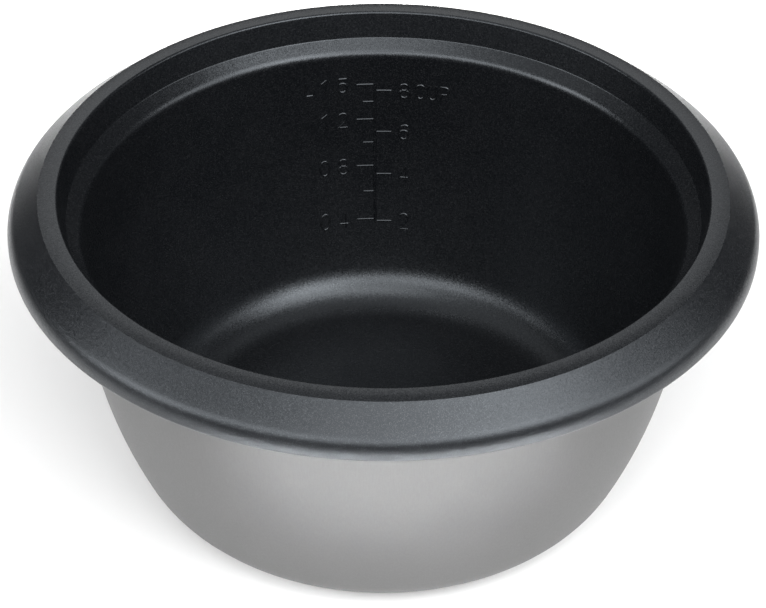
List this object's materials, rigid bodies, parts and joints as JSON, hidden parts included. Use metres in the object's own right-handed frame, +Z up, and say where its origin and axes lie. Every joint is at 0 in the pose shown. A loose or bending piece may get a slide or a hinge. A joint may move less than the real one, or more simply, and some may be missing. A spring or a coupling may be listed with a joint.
{
  "type": "rice cooker inner pot",
  "caption": "Empty inner pot of a rice cooker: a layered bowl with a black non-stick inside, a lid ledge, a raised water scale and a wide sloping rim collar.",
  "frame": {"origin": "centre of the flat underside of the bowl, on its axis of revolution", "axes": "+Z up along the axis of revolution; the water scale is on the +Y side of the wall, and the pot is seen from the -Y side in normal use"},
  "size_m": [0.2554, 0.2554, 0.1178],
  "materials": {
    "nonstick_coating": "satin black non-stick coating with fine metallic flake, on aluminium sheet",
    "collar_coating": "satin black coating with fine metallic flake, on aluminium sheet",
    "scale_relief": "the pan's own black coating over raised marks",
    "core_aluminium": "bare rolled aluminium, hidden between the other two sheets",
    "satin_steel": "fine satin, pale grey"
  },
  "bodies": {
    "root": {"cooking_pan": "nonstick_coating", "heat_core": "core_aluminium", "outer_bowl": "satin_steel", "rim_collar": "collar_coating", "litre_marks": "scale_relief", "cup_marks": "scale_relief", "scale_line": "scale_relief"}
  },
  "joints": []
}
